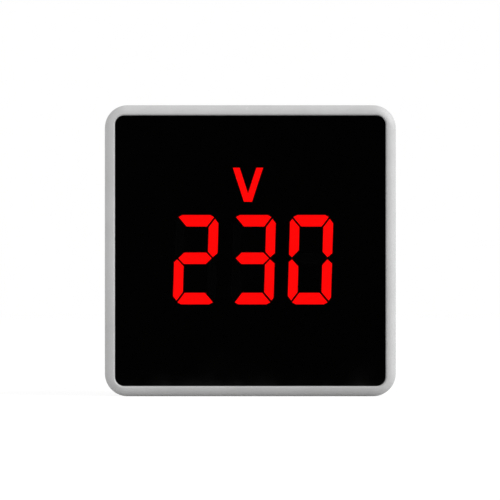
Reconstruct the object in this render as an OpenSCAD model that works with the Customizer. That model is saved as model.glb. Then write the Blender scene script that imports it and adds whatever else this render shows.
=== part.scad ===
// Plug-in mains voltmeter: a square case with a lit display in front and a round two-pin plug behind.
// Millimetres. The origin is the centre of the plug's end face, +Y points into the outlet, +Z is up.

/* [Case] */
// Width and height of the square case
case_w = 50; // [49:0.5:60]
// Depth of the square case, from the front rim to the shoulder behind it
case_depth = 22; // [21:0.5:30]
// Radius of the four upright corners
corner_r = 3.9; // [3.5:0.1:5]
// Thickness of the case's walls
wall = 1.8; // [1.6:0.1:2.2]
// Depth of the front half, from the rim to the seam
front_depth = 9; // [8.6:0.2:10]
// Rounding of the front rim
rim_r = 1.5; // [0.8:0.1:1.5]
// Rounding of the back edge
back_r = 2; // [1:0.1:2.4]
// Bevel on both sides of the seam
seam_bevel = 0.3; // [0.1:0.1:0.5]
// Reach of the tongue that joins the two halves
tongue_h = 1.5; // [1:0.1:2]
// Thickness of that tongue
tongue_t = 0.8; // [0.6:0.1:0.9]
// Clearance between pieces that go together by hand
slip = 0.1; // [0.05:0.05:0.2]

/* [Window] */
// Visible width of the pale border around the window
border_w = 1.75; // [1.7:0.05:3]
// Radius of the window's corners
window_r = 1.6; // [1:0.1:2.1]
// Bevel of the border's inner edge
lip_bevel = 0.2; // [0.1:0.05:0.25]
// How far the display face lies below the rim
face_drop = 0.3; // [0.2:0.05:0.6]
// Thickness of the display face
face_t = 1.5; // [1:0.1:2]
// Width of the ledge that carries the display face
ledge_w = 1.4; // [1:0.1:1.8]
// Thickness of that ledge
ledge_t = 1.6; // [1.2:0.1:2]
// Thickness of the tape between ledge and face
tape_t = 0.15; // [0.1:0.05:0.3]

/* [Digits] */
// Height of a digit
digit_h = 15.26; // [12:0.01:16]
// Width of a digit across its posts
digit_w = 7.34; // [7:0.02:8]
// Distance from one digit to the next
digit_pitch = 9.85; // [9.6:0.05:10.5]
// Sideways place of the middle digit
digits_x = 0.48; // [-0.5:0.02:0.5]
// Height of the digits' centre above the plug's axis
digits_z = -1.54; // [-2:0.02:0]
// Lean of the digits, in degrees
digit_lean = 1.7; // [0:0.1:4]
// Height of the level bars
bar_h = 1.9; // [1.8:0.05:2.3]
// Width of the upright posts
post_w = 1.58; // [1.5:0.02:2]
// Rise of the middle bar above the digit's centre
mid_rise = 0.24; // [0:0.01:0.4]
// Gap between neighbouring segments
segment_gap = 0.36; // [0.2:0.02:0.5]
// Bevel at the outer ends of the bars
bar_bevel = 0.32; // [0.2:0.01:0.5]
// Height of the unit sign
sign_h = 5.76; // [5:0.01:6.4]
// Width of the unit sign
sign_w = 5.1; // [4.6:0.05:5.6]
// Width of the unit sign's arms
sign_arm = 1.1; // [1.05:0.01:1.5]
// Width of the unit sign's foot
sign_foot = 1.35; // [1.2:0.05:1.8]
// Sideways place of the unit sign
sign_x = -0.4; // [-1:0.02:0.5]
// Gap between the digits and the unit sign above them
sign_gap = 2.36; // [1.5:0.02:2.6]

/* [Light box] */
// Depth of the reflector behind the display face
reflector_t = 5; // [4.5:0.1:5.6]
// Margin of the reflector around what it lights
reflector_margin = 1.8; // [1.2:0.1:2]
// How far a light pipe reaches behind the display face
pipe_depth = 3.5; // [2.5:0.1:3.7]
// How far a light pipe's end lies below the display face
pipe_recess = 0.04; // [0.02:0.02:0.1]
// Clearance around a light pipe
pipe_slip = 0.04; // [0.02:0.01:0.06]
// Ledge at the foot of a light pipe
pipe_ledge = 0.2; // [0.15:0.05:0.25]
// Length of a lamp chip
lamp_l = 1; // [0.8:0.1:1]
// Width of a lamp chip
lamp_w = 0.5; // [0.4:0.1:0.6]
// Height of a lamp chip
lamp_h = 0.5; // [0.3:0.1:0.8]

/* [Boards] */
// Thickness of the display board
display_board_t = 1.2; // [1:0.1:1.6]
// Gap between the display board and the case's walls
board_gap = 0.6; // [0.4:0.1:1]
// Gap between the power board's sides and the screw tubes
power_board_side_gap = 1.1; // [0.6:0.1:1.6]
// Gap between the power board's ends and the case's walls
power_board_end_gap = 2.2; // [1.2:0.1:2.6]
// Thickness of the power board
power_board_t = 1.6; // [1.2:0.1:1.8]
// Height of the power board's standoffs
standoff_h = 3.6; // [3.4:0.1:4]
// Diameter of the power board's standoffs
standoff_d = 4.4; // [4:0.1:5]
// Distance of the board screws from the power board's edges
board_screw_inset = 2.8; // [2.6:0.1:3]
// Diameter of the board screws
board_screw_d = 1.9; // [1.6:0.1:2]
// Reach of the board screws into the standoffs
board_screw_grip = 2.8; // [2:0.1:3.2]
// Number of header pins between the two boards
header_pins_n = 6; // [4:1:7]
// Pitch of the header pins
header_pitch = 2.54; // [2:0.02:2.54]
// Thickness of a header pin
header_pin_w = 0.64; // [0.5:0.02:0.7]

/* [Fastening] */
// Distance of the case screws from the case's sides
screw_inset = 5.2; // [5.2:0.1:5.6]
// Outer diameter of the posts and tubes that take the case screws
post_d = 6.4; // [6.2:0.1:6.6]
// Diameter of the spigot on each front post
spigot_d = 4.4; // [4.2:0.1:4.6]
// Reach of that spigot past the display board
spigot_h = 5; // [4:0.5:6]
// Diameter of the case screws' shanks
screw_d = 2.2; // [2:0.1:2.4]
// Length of the case screws under the head
screw_l = 9; // [7:0.5:10]
// Diameter of the case screws' heads
screw_head_d = 4.6; // [4.2:0.1:4.6]
// Height of the case screws' heads
screw_head_h = 1.7; // [1.4:0.1:2]
// Thickness of the seat under a case screw's head
screw_seat = 2; // [1.5:0.1:2.5]
// Clearance around a screw in a plain hole
screw_slip = 0.3; // [0.2:0.05:0.4]

/* [Plug] */
// Diameter of the round plug body
plug_d = 36.6; // [36.4:0.1:37.5]
// Length of the plug body, from the shoulder to its end face
plug_len = 18; // [17:0.5:20]
// Thickness of the plug body's side wall
plug_wall = 2; // [1.6:0.1:2.2]
// Thickness of the plug body's end wall
end_wall = 3; // [2.8:0.1:3.6]
// Rounding of the plug body's end edge
plug_edge_r = 1.2; // [0.6:0.1:1.6]
// How far the collar stands out of the plug body, where it fills the hole in the case
collar_step = 1.2; // [1:0.1:1.4]
// Fillet between the plug body and its collar
plug_root_r = 0.8; // [0.4:0.1:0.9]
// How far the flange behind the case's back wall stands out of the collar
plug_flange_step = 1.1; // [0.8:0.1:1.4]
// Thickness of that flange
plug_flange_t = 1.6; // [1.2:0.1:1.8]
// Distance between the floors of the two earth-clip grooves
clip_flats = 30; // [29:0.5:31]
// Width of the earth-clip grooves
clip_groove_w = 7.4; // [6:0.2:8]
// Width of the guide grooves at the sides
guide_groove_w = 5.4; // [4.6:0.2:6]
// Depth of the guide grooves
guide_groove_depth = 1.6; // [1:0.1:1.8]

/* [Pins] */
// Diameter of the pins
pin_d = 4.8; // [4:0.1:4.8]
// Length of the pins outside the plug
pin_len = 19; // [18:0.5:20]
// Distance between the pins' axes
pin_pitch = 19; // [18.6:0.1:19.4]
// Diameter of a pin's thicker seat in the end wall
pin_seat_d = 5.2; // [5:0.1:5.6]
// Radius at the edge of a pin's rounded tip
pin_tip_r = 1.9; // [1:0.1:1.9]
// Diameter of the flange that holds a pin inside the plug
flange_d = 7; // [6.4:0.1:7.2]
// Thickness of that flange
flange_t = 1.2; // [1:0.1:1.6]
// Diameter of a pin's soldering tail
tail_d = 3; // [2.4:0.1:3.4]
// Length of a pin's soldering tail
tail_len = 4.8; // [4.4:0.1:6]
// Radial clearance between a pin and the end wall
pin_slip = 0.03; // [0.01:0.01:0.05]
// Length of the bar that holds both pins down
retainer_l = 26; // [25.5:0.1:26.4]
// Height of that bar
retainer_h = 8; // [7.4:0.1:8.4]
// Thickness of that bar
retainer_t = 2.4; // [2:0.1:3]
// Outer diameter of the pins' wires
wire_d = 1.8; // [1.4:0.1:2]

/* [Hidden] */
$fn = 64;

// A cut starts this far outside the surface that it opens
cut = 0.5;

// Places along Y, from the front rim to the plug's end face at zero
shoulder_y = -plug_len;
front_y = shoulder_y - case_depth;
seam_y = front_y + front_depth;
face_y = front_y + face_drop;
face_back_y = face_y + face_t;
ledge_y = face_back_y + tape_t;
ledge_back_y = ledge_y + ledge_t;
display_board_y = face_back_y + reflector_t;
display_board_back_y = display_board_y + display_board_t;
pipe_foot_y = face_back_y + pipe_depth;
back_wall_y = shoulder_y - wall;
plug_flange_y = back_wall_y - plug_flange_t;
power_board_back_y = back_wall_y - standoff_h;
power_board_y = power_board_back_y - power_board_t;
spigot_end_y = display_board_back_y + spigot_h;
screw_seat_y = spigot_end_y + slip + screw_seat;
screw_tip_y = screw_seat_y - screw_l;
end_wall_y = -end_wall;
flange_y = end_wall_y - flange_t;
retainer_y = flange_y - retainer_t;
tail_end_y = flange_y - tail_len;

// Sizes across
window_w = case_w - 2*border_w;
inner_w = case_w - 2*wall;
face_w = window_w - 2*slip;
ledge_open_w = window_w - 2*ledge_w;
display_board_w = inner_w - 2*board_gap;
screw_xz = case_w/2 - screw_inset;
power_board_w = 2*(screw_xz - post_d/2 - power_board_side_gap);
power_board_h = inner_w - 2*power_board_end_gap;
board_screw_x = power_board_w/2 - board_screw_inset;
board_screw_z = power_board_h/2 - board_screw_inset;
well_d = screw_head_d + 2*screw_slip;
rib_t = 1.4;
collar_d = plug_d + 2*collar_step;
plug_flange_d = collar_d + 2*plug_flange_step;

// Digits
half_w = digit_w/2;
half_h = digit_h/2;
sign_top_z = digits_z + half_h + sign_gap + sign_h;
sign_z = sign_top_z - sign_h/2;
sign_slope = (sign_w - sign_foot)/2/sign_h;
light_left_x = digits_x - digit_pitch - half_w;
light_right_x = digits_x + digit_pitch + half_w;
light_low_z = digits_z - half_h;

// Segments of each digit, hundreds first: a top, b and c right, d bottom, e and f left, g middle
places = [-1, 0, 1];
shown = ["abdeg", "abcdg", "abcdef"];

// --- Helpers -------------------------------------------------------------------------------------

// A flat drawing seen from the front, as a plate from y0 to y1
module plate(y0, y1) {
    translate([0, y1, 0]) rotate([90, 0, 0]) linear_extrude(y1 - y0) children();
}

// A profile of radius and y, turned around the Y axis
module turned() {
    rotate([-90, 0, 0]) rotate_extrude() children();
}

// A rod along Y
module rod(d, y0, y1) {
    translate([0, y0, 0]) rotate([-90, 0, 0]) cylinder(d = d, h = y1 - y0);
}

module at(x, z) {
    translate([x, 0, z]) children();
}

module four(x, z) {
    for (i = [-1, 1], k = [-1, 1]) at(i*x, k*z) children();
}

module round_square(w, r) {
    round_rect(w, w, r);
}

module round_rect(w, h, r) {
    square([w, h - 2*r], center = true);
    square([w - 2*r, h], center = true);
    for (i = [-1, 1], k = [-1, 1]) translate([i*(w/2 - r), k*(h/2 - r)]) circle(r);
}

// A profile carried around a rounded square of width w; the profile's x is r at the square's side
module around(w, r) {
    run = w/2 - r;
    for (k = [0:3]) rotate([0, 90*k, 0]) translate([run, 0, -run]) {
        linear_extrude(2*run) children();
        rotate([-90, 0, 0]) rotate_extrude(angle = 90) children();
    }
}

// A corner of the profile rounded off: dx and dy point to the removed corner
module off_corner(x, y, r, dx, dy) {
    difference() {
        translate([min(x, x + dx*cut), min(y, y + dy*cut)])
            translate([dx > 0 ? -r : 0, dy > 0 ? -r : 0]) square(r + cut);
        translate([x - dx*r, y - dy*r]) circle(r);
    }
}

// --- Outlines of the display ----------------------------------------------------------------------

function lean(p) = [p[0] + p[1]*tan(digit_lean), p[1]];
function turn(p) = [for (q = p) -q];
function moved(p, x, z) = [for (q = p) q + [x, z]];
function mean(p, i = 0) = i == len(p) - 1 ? p[i]/len(p) : p[i]/len(p) + mean(p, i + 1);

// The unit vector that points into an outline across the side from p to q
function inward(p, q) = [p[1] - q[1], q[0] - p[0]]/norm(q - p);

// An outline with every side moved in by d
function inset(p, d) = [for (i = [0:len(p) - 1]) let (
        n = inward(p[(i + len(p) - 1) % len(p)], p[i]),
        m = inward(p[i], p[(i + 1) % len(p)])
    ) p[i] + d*(n + m)/(1 + n*m)];

// Angles of the slanted cuts between bars and posts, at the top left and at the top right
blunt = 49;
steep = 54;
// Distance of the points at the middle from the digit's left and right edges
left_point = 0.48;
right_point = 0.75;
// Half the gap between the points of the upper and lower posts
point_gap = 0.24;
// Length of a bar's bevel and of a post's, in heights and widths of the bevel
bar_bevel_run = 1.85;
post_bevel_run = 1.3;
// Drop of a post's top point below the digit's top, in heights of the bar's bevel
post_drop = 2.1;
// Slope of both sides of a post's point
point_slope = 0.88;

// The top bar, about the digit's centre, counter-clockwise
function top_bar() = let (
        inner = half_w - post_w - segment_gap,
        rise = bar_h - bar_bevel,
        left = -inner - rise/tan(blunt),
        right = inner + rise/tan(steep),
        flat = bar_bevel_run*bar_bevel
    ) [
        [-inner, half_h - bar_h], [inner, half_h - bar_h], [right, half_h - bar_bevel],
        [right - flat, half_h], [left + flat, half_h], [left, half_h - bar_bevel]
    ];

// The upper right post; point is the distance of its lower tip from the outer edge, mid that tip's level
function right_post(point, mid, cut_angle) = let (
        inner_x = half_w - post_w,
        top = half_h - bar_h - segment_gap/2,
        tip_z = half_h - post_drop*bar_bevel,
        tip_x = inner_x + (tip_z - top)/tan(cut_angle),
        low = mid + point_slope*point,
        high = tip_z - post_bevel_run*(half_w - tip_x)
    ) [
        [half_w - point, mid], [half_w, low], [half_w, high],
        [tip_x, tip_z], [inner_x, top], [inner_x, mid + post_w - point_slope*point]
    ];

function mirrored(p) = [for (i = [len(p) - 1:-1:0]) [-p[i][0], p[i][1]]];

function middle_bar() = let (
        left = half_w - left_point - point_gap,
        right = half_w - right_point - point_gap,
        tip = bar_h/2
    ) [
        [-left, mid_rise], [-left + tip, mid_rise - tip], [right - tip, mid_rise - tip],
        [right, mid_rise], [right - tip, mid_rise + tip], [-left + tip, mid_rise + tip]
    ];

function upright(name) =
    name == "a" ? top_bar() :
    name == "b" ? right_post(right_point, mid_rise + point_gap, steep) :
    name == "c" ? turn(mirrored(right_post(right_point, -mid_rise + point_gap, blunt))) :
    name == "d" ? turn(top_bar()) :
    name == "e" ? turn(right_post(left_point, -mid_rise + point_gap, steep)) :
    name == "f" ? mirrored(right_post(left_point, mid_rise + point_gap, blunt)) :
    middle_bar();

function segment(name, place) = moved([for (p = upright(name)) lean(p)],
    digits_x + place*digit_pitch, digits_z);

function has(word, letter) = len(search(letter, word)) > 0;

// Every segment outline of the digits at the given places, lit or dark
function segments(at_places, lit) = [for (i = at_places, name = "abcdefg")
    if (has(shown[i], name) == lit) segment(name, places[i])];

// The unit sign, a plain V
function sign_outline() = let (
        half = sign_w/2,
        low = sign_z - sign_h/2,
        high = sign_z + sign_h/2,
        notch = high - (half - sign_arm)/sign_slope
    ) moved([
        [-sign_foot/2, low], [sign_foot/2, low], [half, high],
        [half - sign_arm, high], [0, notch], [-half + sign_arm, high], [-half, high]
    ], sign_x, 0);

function all_outlines() = concat(segments([0, 1, 2], true), segments([0, 1, 2], false), [sign_outline()]);

module light_pipes(outlines) {
    for (p = outlines) plate(face_y + pipe_recess, pipe_foot_y) polygon(p);
}

// --- Case -----------------------------------------------------------------------------------------

module front_case() color("gainsboro") {
    difference() {
        union() {
            around(case_w, corner_r) front_profile();
            plate(front_y, ledge_back_y) round_square(case_w - 2*rim_r, corner_r - rim_r);
            four(screw_xz, screw_xz) {
                rod(post_d, ledge_y, display_board_y);
                rod(spigot_d, display_board_y - cut, spigot_end_y);
            }
            post_ribs(ledge_y, display_board_y);
        }
        plate(front_y - cut, ledge_y) round_square(window_w, window_r);
        around(window_w, window_r) polygon([
            [window_r - cut, front_y - cut], [window_r + lip_bevel + cut, front_y - cut],
            [window_r - cut, front_y + lip_bevel + cut]
        ]);
        plate(ledge_y - cut, ledge_back_y + cut) ledge_opening();
        four(screw_xz, screw_xz) rod(screw_d + 2*pin_slip, screw_tip_y - slip, spigot_end_y + cut);
    }
}

// The opening in the ledge, with its corners filled around the screw posts, narrowed on every side by margin
module ledge_opening(margin = 0) {
    difference() {
        round_square(ledge_open_w - 2*margin, window_r);
        for (i = [-1, 1], k = [-1, 1]) translate([i*screw_xz, k*screw_xz])
            circle(d = post_d + 2*rib_t + 2*margin);
    }
}

module front_profile() {
    difference() {
        union() {
            translate([corner_r - wall, front_y]) square([wall, front_depth]);
            translate([corner_r - wall, seam_y - wall]) square([tongue_t, wall + tongue_h]);
        }
        off_corner(corner_r, front_y, rim_r, 1, -1);
        seam_cut(-1);
    }
}

// The bevel along the seam, on the front side (-1) or the back side (1)
module seam_cut(side) {
    translate([corner_r, seam_y]) polygon([
        [-seam_bevel, 0], [cut, side*(seam_bevel + cut)], [cut, -side*cut], [-seam_bevel, -side*cut]
    ]);
}

// Ribs that tie the screw posts or tubes to the case's walls
module post_ribs(y0, y1) {
    reach = inner_w/2 - screw_xz + wall/2;
    for (i = [-1, 1], k = [-1, 1]) {
        translate([i*(screw_xz + reach/2), (y0 + y1)/2, k*screw_xz])
            cube([reach, y1 - y0, rib_t], center = true);
        translate([i*screw_xz, (y0 + y1)/2, k*(screw_xz + reach/2)])
            cube([rib_t, y1 - y0, reach], center = true);
    }
}

module rear_case() color("gainsboro") {
    tongue_end_y = seam_y + tongue_h + slip;
    difference() {
        union() {
            around(case_w, corner_r) rear_profile();
            plate(back_wall_y, shoulder_y) round_square(case_w - 2*back_r, corner_r - back_r);
            four(screw_xz, screw_xz) rod(post_d, display_board_back_y + slip, shoulder_y - wall/2);
            post_ribs(tongue_end_y + slip, back_wall_y + wall/2);
            four(board_screw_x, board_screw_z) rod(standoff_d, power_board_back_y, shoulder_y - wall/2);
        }
        rod(collar_d + 2*slip, back_wall_y - cut, shoulder_y + cut);
        four(screw_xz, screw_xz) {
            rod(spigot_d + 2*slip, display_board_back_y, spigot_end_y + slip);
            rod(screw_d + 2*screw_slip, spigot_end_y, shoulder_y);
            rod(well_d, screw_seat_y, shoulder_y + cut);
        }
        four(board_screw_x, board_screw_z)
            rod(board_screw_d + 2*pin_slip, power_board_back_y - cut, shoulder_y - wall/2);
    }
}

module rear_profile() {
    foot = back_r + wall/2;
    difference() {
        union() {
            translate([corner_r - wall, seam_y]) square([wall, case_depth - front_depth]);
            translate([corner_r - foot, back_wall_y]) square([foot, wall]);
        }
        off_corner(corner_r, shoulder_y, back_r, 1, 1);
        seam_cut(1);
        translate([corner_r - wall - cut, seam_y - cut])
            square([tongue_t + slip + cut, tongue_h + slip + cut]);
    }
}

module case_screws() color("silver") {
    four(screw_xz, screw_xz) translate([0, screw_seat_y, 0])
        screw(screw_d, screw_l, screw_head_d, screw_head_h);
}

// Shares of a screw head: the radius of its edge in heights, its cross in diameters and heights
pan_share = 0.6;
cross_w_share = 0.2;
cross_l_share = 0.6;
cross_depth_share = 0.6;

// A pan-head cross screw: the underside of its head at zero, its shank towards -Y
module screw(d, l, head_d, head_h) {
    cross_w = cross_w_share*head_d;
    cross_l = cross_l_share*head_d;
    difference() {
        turned() {
            polygon([[0, -l], [d/4, -l], [d/2, -l + d/2], [d/2, head_h/2], [0, head_h/2]]);
            difference() {
                square([head_d/2, head_h]);
                off_corner(head_d/2, head_h, pan_share*head_h, 1, 1);
            }
        }
        for (a = [0, 90]) rotate([0, a, 0])
            translate([-cross_l/2, (1 - cross_depth_share)*head_h, -cross_w/2])
                cube([cross_l, head_h, cross_w]);
    }
}

// --- Display --------------------------------------------------------------------------------------

module face_tape() color("dimgray") {
    plate(face_back_y, ledge_y) difference() {
        round_square(face_w, window_r - slip);
        ledge_opening();
    }
}

module display_face() color([0.02, 0.02, 0.02]) {
    difference() {
        plate(face_y, face_back_y) round_square(face_w, window_r - slip);
        for (p = all_outlines()) plate(face_y - cut, face_back_y + cut) polygon(inset(p, -pipe_slip));
    }
}

module hundreds_segments() color("red") light_pipes(segments([0], true));
module tens_segments() color("red") light_pipes(segments([1], true));
module units_segments() color("red") light_pipes(segments([2], true));
module dark_segments() color([0.1, 0.05, 0.05]) light_pipes(segments([0, 1, 2], false));
module unit_sign() color("red") light_pipes([sign_outline()]);

// The white block between face and board, within the ledge's opening, with a well behind every segment
module reflector() color("white") {
    m = reflector_margin;
    difference() {
        plate(face_back_y, display_board_y) intersection() {
            translate([light_left_x - m, light_low_z - m])
                square([light_right_x - light_left_x + 2*m, sign_top_z - light_low_z + 2*m]);
            ledge_opening(slip);
        }
        for (p = all_outlines()) {
            plate(face_back_y - cut, pipe_foot_y) polygon(inset(p, -pipe_slip));
            plate(pipe_foot_y - cut, display_board_y + cut) polygon(inset(p, pipe_ledge));
        }
    }
}

module display_board() color("darkgreen") {
    plate(display_board_y, display_board_back_y) difference() {
        round_square(display_board_w, corner_r - wall);
        for (i = [-1, 1], k = [-1, 1]) translate([i*screw_xz, k*screw_xz]) circle(d = spigot_d + 2*slip);
        header_holes();
    }
}

// One lamp under each segment and each arm of the unit sign, turned along it
module lamp_chips() color("lightyellow") {
    for (i = [0:2], name = "abcdefg") let (
        c = mean(segment(name, places[i])),
        level = name == "a" || name == "d" || name == "g"
    ) lamp(c[0], c[1], level ? 0 : 90);
    arm_x = sign_w/2 - sign_arm/2 - sign_slope*sign_h/2;
    for (i = [-1, 1]) lamp(sign_x + i*arm_x, sign_z, 90 + i*atan(sign_slope));
}

module lamp(x, z, angle) {
    at(x, z) rotate([0, angle, 0]) translate([-lamp_l/2, display_board_y - lamp_h, -lamp_w/2])
        cube([lamp_l, lamp_h, lamp_w]);
}

chip_l = 9.9;
chip_w = 3.9;
chip_t = 1.5;
chip_z = -4;
chip_pitch = 1.27;
chip_leads_per_side = 8;
chip_lead_w = 0.42;
chip_lead_reach = 1.05;
chip_lead_t = 0.25;

// The chip that reads the voltage and drives the lamps, with sixteen bent leads
module driver_chip() color("black") {
    translate([0, display_board_back_y, chip_z]) {
        translate([-chip_l/2, chip_lead_t/2, -chip_w/2]) cube([chip_l, chip_t, chip_w]);
        for (i = [0:chip_leads_per_side - 1], side = [0, 180]) rotate([0, side, 0])
            translate([(i - (chip_leads_per_side - 1)/2)*chip_pitch - chip_lead_w/2, 0, chip_w/2])
                rotate([90, 0, 90]) linear_extrude(chip_lead_w) chip_lead();
    }
}

module chip_lead() {
    t = chip_lead_t;
    mid = chip_t/2;
    half = chip_lead_reach/2;
    polygon([
        [mid, -cut], [mid + t, -cut], [mid + t, half], [t, half + t/2], [t, chip_lead_reach],
        [0, chip_lead_reach], [0, half - t/2], [mid, half - t]
    ]);
}

resistor_n = 8;
resistor_l = 1.6;
resistor_w = 0.8;
resistor_h = 0.5;
resistor_pitch = 2;
resistor_z = 4;

module chip_resistors() color("black") {
    for (i = [0:resistor_n - 1]) at((i - (resistor_n - 1)/2)*resistor_pitch, resistor_z)
        translate([-resistor_w/2, display_board_back_y, -resistor_l/2])
            cube([resistor_w, resistor_h, resistor_l]);
}

// --- Header between the boards ----------------------------------------------------------------------

// The header's axis lies this far above the lower board screws
header_rise = 1;
header_z = header_rise - board_screw_z;
header_strip_t = 2.5;
header_hole_slip = 0.15;
header_stub = 0.8;

module header_places() {
    for (i = [0:header_pins_n - 1])
        translate([(i - (header_pins_n - 1)/2)*header_pitch, header_z]) children();
}

module header_holes() {
    header_places() circle(d = header_pin_w*sqrt(2) + 2*header_hole_slip);
}

module header_strip() color("black") {
    plate(power_board_y - header_strip_t, power_board_y) difference() {
        translate([0, header_z]) square([header_pins_n*header_pitch, header_pitch], center = true);
        header_places() square(header_pin_w + pin_slip, center = true);
    }
}

module header_pins() color("gold") {
    plate(display_board_y - header_stub, power_board_back_y + header_stub)
        header_places() square(header_pin_w, center = true);
}

// --- Power board ------------------------------------------------------------------------------------

power_board_r = 1;

module power_board() color("darkgreen") {
    plate(power_board_y, power_board_back_y) difference() {
        round_rect(power_board_w, power_board_h, power_board_r);
        for (i = [-1, 1], k = [-1, 1]) translate([i*board_screw_x, k*board_screw_z])
            circle(d = board_screw_d + 2*slip);
        header_holes();
    }
}

board_screw_l = power_board_t + board_screw_grip;
board_screw_head_d = 3.4;
board_screw_head_h = 1.2;

module board_screws() color("silver") {
    four(board_screw_x, board_screw_z) translate([0, power_board_y, 0]) rotate([180, 0, 0])
        screw(board_screw_d, board_screw_l, board_screw_head_d, board_screw_head_h);
}

// Parts on the back of the power board stand into the hollow plug body
film_w = 13;
film_t = 5.5;
film_h = 10;
film_r = 0.6;
film_z = 7.6;
film_foot = 0.5;
film_lead_d = 0.8;
film_lead_pitch = 10;

module film_capacitor() color("gold") {
    plate(power_board_back_y + film_foot, power_board_back_y + film_h)
        translate([0, film_z]) round_rect(film_w, film_t, film_r);
    for (i = [-1, 1]) at(i*film_lead_pitch/2, film_z)
        rod(film_lead_d, power_board_back_y, power_board_back_y + 2*film_foot);
}

can_d = 8;
can_h = 11.5;
can_x = -5.4;
can_z = -7.2;
can_groove = 0.4;

// A round electrolytic can with a rolled groove near its foot
module smoothing_capacitor() color("navy") {
    translate([can_x, power_board_back_y, can_z]) turned() difference() {
        square([can_d/2, can_h]);
        off_corner(can_d/2, can_h, 2*can_groove, 1, 1);
        translate([can_d/2 + can_groove/2, 4*can_groove]) circle(can_groove);
    }
}

disc_d = 8;
disc_t = 3.6;
disc_x = 6.4;
disc_z = -7.4;
disc_lift = 1.2;
disc_lead_d = 0.8;
disc_lead_pitch = 5;

// A disc that stands on its two leads
module varistor() color("royalblue") {
    centre_y = power_board_back_y + disc_lift + disc_d/2;
    translate([disc_x, centre_y, disc_z]) rotate_extrude() {
        square([(disc_d - disc_t)/2, disc_t]);
        translate([(disc_d - disc_t)/2, disc_t/2]) circle(d = disc_t);
    }
    for (i = [-1, 1]) at(disc_x + i*disc_lead_pitch/2, disc_z + disc_t/2)
        rod(disc_lead_d, power_board_back_y, centre_y);
}

fuse_d = 3;
fuse_l = 8.4;
fuse_lead_d = 0.7;
fuse_lift = 0.4;

// A flameproof axial resistor lying between the pins' wires
module fuse_resistor() color("seagreen") axial(fuse_d, fuse_l, fuse_lead_d, fuse_lift, 0, 0, 1);

zener_d = 2;
zener_l = 4.2;
zener_lead_d = 0.5;
zener_lift = 0.2;
zener_x = 6;
zener_z = 4;

module zener_diode() color("tomato")
    axial(zener_d, zener_l, zener_lead_d, zener_lift, zener_x, zener_z, -1);

// Length of an axial part's end caps and diameter of its waist, in lengths and diameters of its body
cap_share = 0.22;
waist_share = 0.9;
// Length of a straight lead before its bend
lead_run = 0.8;

// An axial part on the power board, its leads bent down at both ends: side 1 is the back, -1 the front
module axial(d, l, lead_d, lift, x, z, side) {
    surface_y = side > 0 ? power_board_back_y : power_board_y;
    mirror_y = side > 0 ? 0 : 1;
    axis = lift + d/2;
    cap = cap_share*l;
    bend_x = l/2 + lead_run;
    translate([x, surface_y, z]) mirror([0, mirror_y, 0]) {
        translate([-l/2, axis, 0]) rotate([0, 90, 0]) {
            cylinder(d = waist_share*d, h = l);
            for (h = [0, l - cap]) translate([0, 0, h]) cylinder(d = d, h = cap);
        }
        for (i = [-1, 1]) {
            translate([i*bend_x, axis, 0]) sphere(d = lead_d);
            translate([min(0, i*bend_x), axis, 0]) rotate([0, 90, 0]) cylinder(d = lead_d, h = bend_x);
            at(i*bend_x, 0) rod(lead_d, 0, axis);
        }
    }
}

bridge_l = 6;
bridge_w = 4.6;
bridge_t = 2.4;
bridge_x = -6;
bridge_z = 6;
bridge_lift = 0.2;
bridge_lead_w = 0.7;
bridge_lead_l = 1.1;
bridge_lead_t = 0.3;
bridge_lead_pitch = 3.6;
bridge_lead_overlap = 0.15;

// A low block on four flat leads, two at the top and two at the bottom
module bridge_rectifier() color("black") {
    lead_z = bridge_w/2 + bridge_lead_l/2 - bridge_lead_overlap;
    translate([bridge_x, power_board_y, bridge_z]) {
        translate([-bridge_l/2, -bridge_t - bridge_lift, -bridge_w/2]) cube([bridge_l, bridge_t, bridge_w]);
        for (i = [-1, 1], k = [-1, 1])
            translate([i*bridge_lead_pitch/2, -bridge_lead_t/2, k*lead_z])
                cube([bridge_lead_w, bridge_lead_t, bridge_lead_l], center = true);
    }
}

// --- Plug -------------------------------------------------------------------------------------------

// The round plug body: a cup whose collar fills the hole in the case and whose flange lies behind it
module plug_body() color("gainsboro") {
    difference() {
        turned() plug_profile();
        plate(plug_flange_y - cut, end_wall_y) plug_hollow();
        plate(shoulder_y, cut) grooves(0);
        four(board_screw_x, board_screw_z) rod(standoff_d + 4*slip, plug_flange_y - cut, back_wall_y);
        pin_places() rod(pin_seat_d + 2*pin_slip, end_wall_y - cut, cut);
        rod(board_screw_d + 2*pin_slip, end_wall_y - cut, -end_wall/2);
    }
    retainer_seat();
}

module plug_profile() {
    r = plug_d/2;
    difference() {
        union() {
            translate([0, plug_flange_y]) square([plug_flange_d/2, plug_flange_t]);
            translate([0, back_wall_y]) square([collar_d/2, wall]);
            translate([0, shoulder_y]) square([r + plug_root_r, plug_len]);
        }
        translate([r + plug_root_r, shoulder_y + plug_root_r]) circle(plug_root_r);
        translate([r, shoulder_y + plug_root_r]) square([plug_root_r + cut, plug_len]);
        off_corner(r, 0, plug_edge_r, 1, 1);
    }
}

// The hollow of the plug body, narrowed by the walls behind its grooves
module plug_hollow() {
    difference() {
        circle(d = plug_d - 2*plug_wall);
        grooves(plug_wall);
    }
}

// The plug's grooves seen along its axis, widened on every side by extra
module grooves(extra) {
    far = plug_d;
    clip_floor = clip_flats/2 - extra;
    guide_floor = plug_d/2 - guide_groove_depth - extra;
    for (i = [-1, 1]) {
        translate([0, i*(clip_floor + far/2)]) square([clip_groove_w + 2*extra, far], center = true);
        translate([i*(guide_floor + far/2), 0]) square([far, guide_groove_w + 2*extra], center = true);
    }
}

// The pillar under the middle of the retainer
module retainer_seat() {
    difference() {
        rod(standoff_d, flange_y + slip, end_wall_y);
        rod(board_screw_d + 2*pin_slip, flange_y, end_wall_y + cut);
    }
}

module pin_places() {
    for (i = [-1, 1]) at(i*pin_pitch/2, 0) children();
}

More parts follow.
